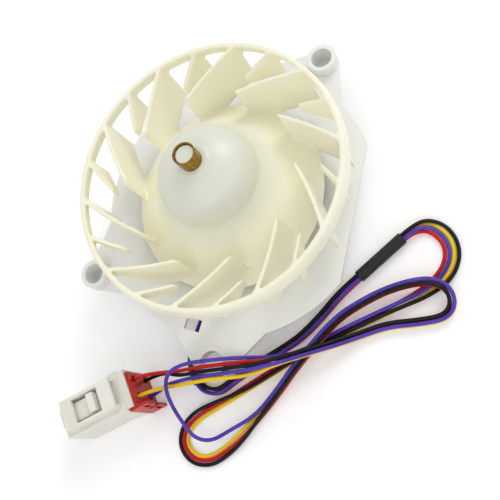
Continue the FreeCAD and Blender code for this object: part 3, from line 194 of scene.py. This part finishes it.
# Camera, at the photograph's angle
camera_data = bpy.data.cameras.new("camera")
camera = bpy.data.objects.new("camera", camera_data)
scene.collection.objects.link(camera)
camera_data.sensor_width = 36.0
camera_data.lens = 46.8
camera_data.clip_start = 0.01
camera_data.clip_end = 10.0
eye_right = Vector((0.55336, -0.758, -0.34528))
eye_up = Vector((0.83243, 0.48874, 0.26114))
eye_back = Vector((-0.02919, -0.43193, 0.90143))
eye = Vector((-22.34, -135.55, 255.4)) * MM
turned = Matrix((eye_right, eye_up, eye_back)).transposed().to_4x4()
camera.matrix_world = Matrix.Translation(eye) @ turned
scene.camera = camera

# Floor and light: white paper, which also glows a little where it is seen, so that it renders white
PAPER_GLOW = 0.17
floor_mesh = bpy.data.meshes.new("floor")
floor_form = bmesh.new()
bmesh.ops.create_grid(floor_form, x_segments=2, y_segments=2, size=3.0)
floor_form.to_mesh(floor_mesh)
floor_form.free()
floor = bpy.data.objects.new("floor", floor_mesh)
scene.collection.objects.link(floor)
floor.location = (0, 0, -0.0002)
floor_material, floor_tree, floor_shader = new_material("floor_paper")
floor_shader.inputs["Base Color"].default_value = (0.93, 0.93, 0.93, 1)
floor_shader.inputs["Roughness"].default_value = 0.9
floor_shader.inputs["Specular IOR Level"].default_value = 0.1
floor_shader.inputs["Emission Color"].default_value = (1, 1, 1, 1)
seen_by = floor_tree.nodes.new("ShaderNodeLightPath")
seen_total = None
for ray in ("Is Camera Ray", "Is Glossy Ray", "Is Transmission Ray"):
    step = floor_tree.nodes.new("ShaderNodeMath")
    step.operation = "MULTIPLY_ADD"
    step.inputs[1].default_value = PAPER_GLOW
    floor_tree.links.new(seen_by.outputs[ray], step.inputs[0])
    if seen_total:
        floor_tree.links.new(seen_total, step.inputs[2])
    else:
        step.inputs[2].default_value = 0.0
    seen_total = step.outputs[0]
floor_tree.links.new(seen_total, floor_shader.inputs["Emission Strength"])
floor_mesh.materials.append(floor_material)

world = bpy.data.worlds.new("studio")
scene.world = world
world.use_nodes = True
world.node_tree.nodes["Background"].inputs["Color"].default_value = (1.0, 1.0, 1.0, 1)
world.node_tree.nodes["Background"].inputs["Strength"].default_value = 0.74


def softbox(name, place_at, aim, size, power):
    """A rectangular lamp of a size in metres and a power in watts, turned to its aim."""
    data = bpy.data.lights.new(name, "AREA")
    data.shape = "RECTANGLE"
    data.size = size[0]
    data.size_y = size[1]
    data.energy = power
    lamp = bpy.data.objects.new(name, data)
    scene.collection.objects.link(lamp)
    lamp.location = place_at
    lamp.rotation_mode = "QUATERNION"
    lamp.rotation_quaternion = (Vector(aim) - Vector(place_at)).to_track_quat("-Z", "Y")


softbox("key", (0.85, 0.1, 0.75), (0, 0, 0.02), (0.5, 0.5), 3.4)
softbox("fill", (-0.65, -0.5, 0.8), (0, 0, 0.02), (0.6, 0.6), 1.4)

# Finishes
cream = plastic("cream_moulding", linear(252, 250, 230), linear(248, 245, 218), (0.3, 0.38),
                grain=900.0, grain_depth=FINE_GRAIN, cloud=22.0)
# Painted light: the dome and nose get a whiter, greyer tone, standing in for the convex dome getting less
# bounced light than the hollows of the same cream moulding.
paint_dome_light(cream, linear(226, 228, 214))
white = plastic("white_moulding", linear(243, 244, 241), linear(238, 239, 236), (0.36, 0.46), 0.15,
                (0.0015, 0.0015, 0.0013), 0.0003, 1100.0, FINE_GRAIN, 18.0)
ivory = plastic("ivory_nylon", linear(236, 235, 226), linear(228, 226, 214), (0.36, 0.48), 0.25,
                (0.0012, 0.001, 0.0007), 0.0002, 1500.0, FINE_GRAIN, 60.0)
red_plastic = plastic("red_clip", linear(196, 22, 14), linear(170, 12, 8), (0.3, 0.42), 0.1,
                      (0.0008, 0.0002, 0.0001), 0.0002, 1500.0, FINE_GRAIN, 80.0)
brass = metal("brass_turned", linear(186, 148, 56), linear(112, 84, 20), (0.2, 0.34),
              (1, 1, 0.04), 2200.0, 0.00005)
steel = metal("steel_ground", linear(196, 196, 198), linear(150, 150, 154), (0.25, 0.4),
              (0.05, 0.05, 1), 1500.0)
copper = metal("copper_winding", linear(190, 108, 66), linear(150, 74, 40), (0.3, 0.42),
               (1, 1, 14), 260.0, 0.0001)
tin = metal("tinned_contact", linear(178, 172, 150), linear(130, 124, 100), (0.3, 0.45))
ferrite = plastic("ferrite", linear(62, 62, 66), linear(48, 48, 52), (0.6, 0.75), edge=0.0002)
board_green = plastic("board_mask", linear(46, 112, 62), linear(36, 92, 50), (0.3, 0.45),
                      edge=0.0001, cloud=90.0)
chip_black = plastic("chip_black", linear(40, 40, 42), linear(28, 28, 30), (0.5, 0.65), edge=0.0001)
sleeve_black = plastic("sleeve_black", linear(22, 22, 23), linear(9, 9, 10), (0.36, 0.52), edge=0.0002,
                       grain=500.0, grain_depth=0.00006, cloud=120.0)

worn_by = (
    (white, ("mounting_plate", "rear_cover")),
    (cream, ("impeller",)),
    (brass, ("brass_ring",)),
    (ivory, ("connector_housing", "upper_insulator", "lower_insulator")),
    (red_plastic, ("connector_retainer",)),
    (tin, ("connector_terminals", "filter_capacitor")),
    (steel, ("shaft", "shaft_clip", "rotor_yoke", "rear_bearing", "front_bearing", "preload_spring",
             "cover_screws", "board_screws", "stator_core")),
    (ferrite, ("rotor_magnet",)),
    (board_green, ("circuit_board",)),
    (chip_black, ("driver_chip", "hall_sensor")),
    (copper, ("stator_coils",)),
    (sleeve_black, ("exit_sleeve", "mid_sleeve")),
)
for finish, names in worn_by:
    for name in names:
        paint(name, finish)
for node in nodes.values():
    for face in node.data.polygons:
        face.use_smooth = True

# The impeller's moulded corners: hollow where blades meet ring and disc, round at the edges
joining = nodes["impeller"].modifiers.new("joined_faces", "WELD")
joining.merge_threshold = 0.005 * MM
rounding = nodes["impeller"].modifiers.new("moulded_form", "REMESH")
rounding.mode = "VOXEL"
rounding.voxel_size = 0.45 * MM
rounding.use_smooth_shade = True
easing = nodes["impeller"].modifiers.new("moulded_radii", "SMOOTH")
easing.factor = 0.5
easing.iterations = 9
thinning = nodes["impeller"].modifiers.new("fewer_faces", "DECIMATE")
thinning.ratio = 0.33

# Wires: their routes as in the CAD model, in millimetres
black_route = [
    (-25.9, -10.1, 6), (-35.5, -12.9, 5.6), (-44.8, -15.5, 6), (-53.8, -17.5, 5.5),
    (-60.9, -19.4, 5.2), (-66, -22.3, 4.7), (-69.8, -26.3, 4.3), (-72.6, -32.2, 3.7),
    (-69.9, -37.9, 3.2), (-63, -40.2, 2.8), (-52.1, -44.6, 2.6), (-43.1, -49.2, 2.6),
    (-32.7, -53.9, 2.6), (-21.3, -56.3, 2.8), (-9.3, -57.9, 3.5), (4.7, -61.7, 3.5),
    (16.2, -64.8, 3.5), (27.4, -67.8, 3.5), (33.9, -71, 2.4), (35.9, -78.3, 1.2),
    (33, -85.7, 1.2), (26.5, -90.8, 1.2), (17.6, -92, 1.2), (7.6, -88.3, 2.4),
    (-4.5, -79.6, 2.6), (-16.5, -72, 2.6), (-28.4, -65, 2.6), (-39.4, -59, 2.6),
    (-50.8, -53.6, 2.6), (-62.4, -48.2, 2.6), (-72.6, -41.1, 2.7), (-81.9, -34.6, 1.8),
    (-90.6, -32.5, 0.9), (-98.3, -36.2, 0.9), (-100.7, -44.6, 0.9), (-96.7, -52.3, 0.9),
    (-89.2, -56.2, 0.9), (-79.9, -58.5, 2.2), (-68.6, -59.1, 2.6), (-55.1, -60.5, 3.3),
    (-42.1, -61.7, 6.3), (-19.7, -64.5, 6.3), (-8.4, -68.8, 3.9), (1, -74.5, 4.5),
    (8.1, -81, 5.5), (12.7, -87, 5.7), (13.5, -93.1, 5.3), (9.8, -97.1, 3.5),
    (4.7, -96.9, 2.6), (-1.7, -90, 2.6), (-9.2, -80.5, 2.6), (-18.7, -73.5, 2.9),
    (-27.9, -67.5, 8.1), (-36.9, -60.7, 11.7), (-45.4, -54.1, 14.1), (-53, -47.8, 17.4),
    (-60.1, -39.6, 17.4), (-66.7, -31.8, 17.2), (-72.9, -25.1, 14.8), (-76.6, -16.6, 9.6),
    (-83.7, -9.5, 4.9), (-90.6, -5.5, 4.9),
]
red_route = [
    (-27, -6.5, 6), (-36.6, -9.3, 5.6), (-45.7, -11.8, 4.2), (-54.2, -15.7, 3.7),
    (-61.5, -17.8, 3.4), (-67.2, -20.9, 2.9), (-71.4, -25.3, 2.5), (-74.6, -32.2, 1.9),
    (-71.3, -39.3, 1.4), (-63.6, -41.8, 1), (-52.9, -46.2, 0.8), (-43.9, -50.8, 0.8),
    (-33.3, -55.7, 0.8), (-21.7, -58.1, 1), (-9.7, -59.7, 1.7), (4.3, -63.4, 1.7),
    (15.8, -66.5, 1.7), (26.6, -69.4, 1.7), (30.2, -73.3, 0.9), (30.4, -77.7, 0.8),
    (28.6, -82.4, 0.8), (24.3, -85.7, 0.8), (18, -86.6, 0.8), (9.2, -84.6, 0.9),
    (-3.5, -78, 0.8), (-15.5, -70.4, 0.8), (-27.6, -63.4, 0.8), (-38.6, -57.4, 0.8),
    (-50, -52, 0.8), (-61.6, -46.6, 0.8), (-72.8, -41.4, 0.9), (-82.6, -36.3, 0.9),
    (-90.4, -34.4, 0.9), (-96.8, -37.4, 0.9), (-98.8, -44.4, 0.9), (-95.4, -51, 0.9),
    (-88.6, -54.6, 0.9), (-79.6, -57.3, 0.9), (-68.6, -59.1, 0.8), (-55.1, -60.5, 1.5),
    (-42.1, -61.7, 4.5), (-19.7, -64.5, 4.5), (-8.4, -68.8, 2.1), (1, -74.5, 2.7),
    (8.1, -81, 3.7), (12.7, -87, 3.9), (13.5, -93.1, 3.5), (9.8, -97.1, 1.7),
    (4.7, -96.9, 0.8), (-1.7, -90, 0.8), (-9.2, -80.5, 0.8), (-18.7, -73.5, 1.1),
    (-27.9, -67.5, 6.3), (-36.9, -60.7, 9.9), (-45.4, -54.1, 12.3), (-51.7, -46.5, 15.6),
    (-58.8, -38.4, 17.4), (-65.4, -30.6, 17.2), (-71.5, -23.8, 14.8), (-77, -16.4, 12.8),
    (-83.7, -9.5, 14.7), (-90.6, -5.5, 14.7),
]
purple_route = [
    (-26.5, -8.3, 6), (-36.1, -11.1, 5.6), (-45.2, -13.7, 6), (-54.2, -15.7, 5.5),
    (-61.5, -17.8, 5.2), (-67.2, -20.9, 4.7), (-71.4, -25.3, 4.3), (-74.6, -32.2, 3.7),
    (-71.3, -39.3, 3.2), (-63.6, -41.8, 2.8), (-52.9, -46.2, 2.6), (-43.9, -50.8, 2.6),
    (-33.3, -55.7, 2.6), (-21.7, -58.1, 2.8), (-9.7, -59.7, 3.5), (4.3, -63.4, 3.5),
    (15.8, -66.5, 3.5), (26.6, -69.4, 3.5), (31.5, -72.5, 2.4), (32.3, -77.9, 0.8),
    (30.1, -83.5, 0.8), (25.1, -87.4, 0.8), (17.8, -88.4, 0.8), (8.6, -85.9, 2.4),
    (-3.5, -78, 2.6), (-15.5, -70.4, 2.6), (-27.6, -63.4, 2.6), (-38.6, -57.4, 2.6),
    (-46.2, -50.6, 9), (-52.4, -42.9, 16.8), (-60.4, -33.2, 18.4), (-67.2, -25.8, 19.5),
    (-74, -21.6, 18.8), (-80.6, -23.4, 15.5), (-85.8, -28.6, 10), (-89.4, -35.6, 5.6),
    (-90.8, -41.8, 4.6), (-88, -47.6, 2.4), (-80, -51.6, 2.8), (-68.4, -57.3, 2.6),
    (-54.9, -58.7, 3.3), (-41.9, -59.9, 6.3), (-19.3, -62.7, 6.3), (-7.6, -67.2, 3.9),
    (2, -73.1, 4.5), (9.5, -79.8, 5.5), (14.5, -86.2, 5.7), (15.3, -93.7, 5.3),
    (10.6, -98.9, 3.5), (3.9, -98.7, 2.6), (-3.1, -91.2, 2.6), (-10.4, -81.9, 2.6),
    (-19.7, -74.9, 2.9), (-28.9, -68.9, 8.1), (-37.9, -62.1, 11.7), (-46.6, -55.5, 14.1),
    (-54.2, -49, 17.4), (-61.5, -40.8, 17.4), (-68.1, -33, 17.2), (-74.3, -26.5, 14.8),
    (-80, -19.8, 8.2), (-87.5, -16.1, 4.9), (-94.4, -12.1, 4.9),
]
yellow_route = [
    (-25.4, -11.9, 6), (-35, -14.7, 5.6), (-44.3, -17.4, 4.2), (-53.8, -17.5, 3.7),
    (-60.9, -19.4, 3.4), (-66, -22.3, 2.9), (-69.8, -26.3, 2.5), (-72.6, -32.2, 1.9),
    (-69.9, -37.9, 1.4), (-63, -40.2, 1), (-52.1, -44.6, 0.8), (-43.1, -49.2, 0.8),
    (-32.7, -53.9, 0.8), (-21.3, -56.3, 1), (-9.3, -57.9, 1.7), (4.7, -61.7, 1.7),
    (16.2, -64.8, 1.7), (27.4, -67.8, 1.7), (32.9, -71.6, 0.8), (34.1, -78.1, 0.8),
    (31.6, -84.6, 0.8), (25.8, -89.1, 0.8), (17.7, -90.2, 0.8), (8, -87.3, 0.8),
    (-4.5, -79.6, 0.8), (-16.5, -72, 0.8), (-28.4, -65, 0.8), (-39.4, -59, 0.8),
    (-50.8, -53.6, 0.8), (-62.4, -48.2, 0.8), (-73.6, -42.9, 0.9), (-83.3, -38, 0.9),
    (-90.2, -36.3, 0.9), (-95.3, -38.7, 0.9), (-96.9, -44.2, 0.9), (-94.1, -49.7, 0.9),
    (-88, -52.9, 0.9), (-79.2, -55.2, 0.9), (-68.4, -57.3, 0.8), (-54.9, -58.7, 1.5),
    (-41.9, -59.9, 4.5), (-19.3, -62.7, 4.5), (-7.6, -67.2, 2.1), (2, -73.1, 2.7),
    (9.5, -79.8, 3.7), (14.5, -86.2, 3.9), (15.3, -93.7, 3.5), (10.6, -98.9, 1.7),
    (3.9, -98.7, 0.8), (-3.1, -91.2, 0.8), (-10.4, -81.9, 0.8), (-19.7, -74.9, 1.1),
    (-28.9, -68.9, 6.3), (-37.9, -62.1, 9.9), (-46.6, -55.5, 12.3), (-55.5, -50.3, 15.6),
    (-62.8, -42, 17.4), (-69.4, -34.2, 17.2), (-75.7, -27.8, 14.8), (-80.2, -21.8, 11.6),
    (-87.5, -16.1, 14.7), (-94.4, -12.1, 14.7),
]


def wire(name, route, light, dark):
    """One insulated wire along the points of its route, a soft curve of the third order."""
    data = bpy.data.curves.new(name + "_line", "CURVE")
    data.dimensions = "3D"
    data.bevel_depth = WIRE_RADIUS
    data.bevel_resolution = 6
    data.resolution_u = 10
    data.use_fill_caps = True
    line = data.splines.new("NURBS")
    line.points.add(len(route) - 1)
    for point, at in zip(line.points, route):
        point.co = (at[0] * MM, at[1] * MM, at[2] * MM, 1.0)
    line.order_u = 3
    line.use_endpoint_u = True
    item = bpy.data.objects.new(name + "_insulation", data)
    scene.collection.objects.link(item)
    vinyl = plastic(name + "_vinyl", light, dark, (0.28, 0.4), edge=0.0, grain=700.0, grain_depth=0.00003,
                    cloud=70.0)
    vinyl.node_tree.nodes["Principled BSDF"].inputs["Specular IOR Level"].default_value = 0.3
    data.materials.append(vinyl)
    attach(item, "motor")
    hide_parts(name)


wire("black_wire", black_route, linear(13, 13, 14), linear(5, 5, 6))
wire("red_wire", red_route, linear(216, 12, 20), linear(190, 6, 12))
wire("purple_wire", purple_route, linear(92, 66, 184), linear(72, 48, 158))
wire("yellow_wire", yellow_route, linear(250, 214, 18), linear(236, 190, 6))
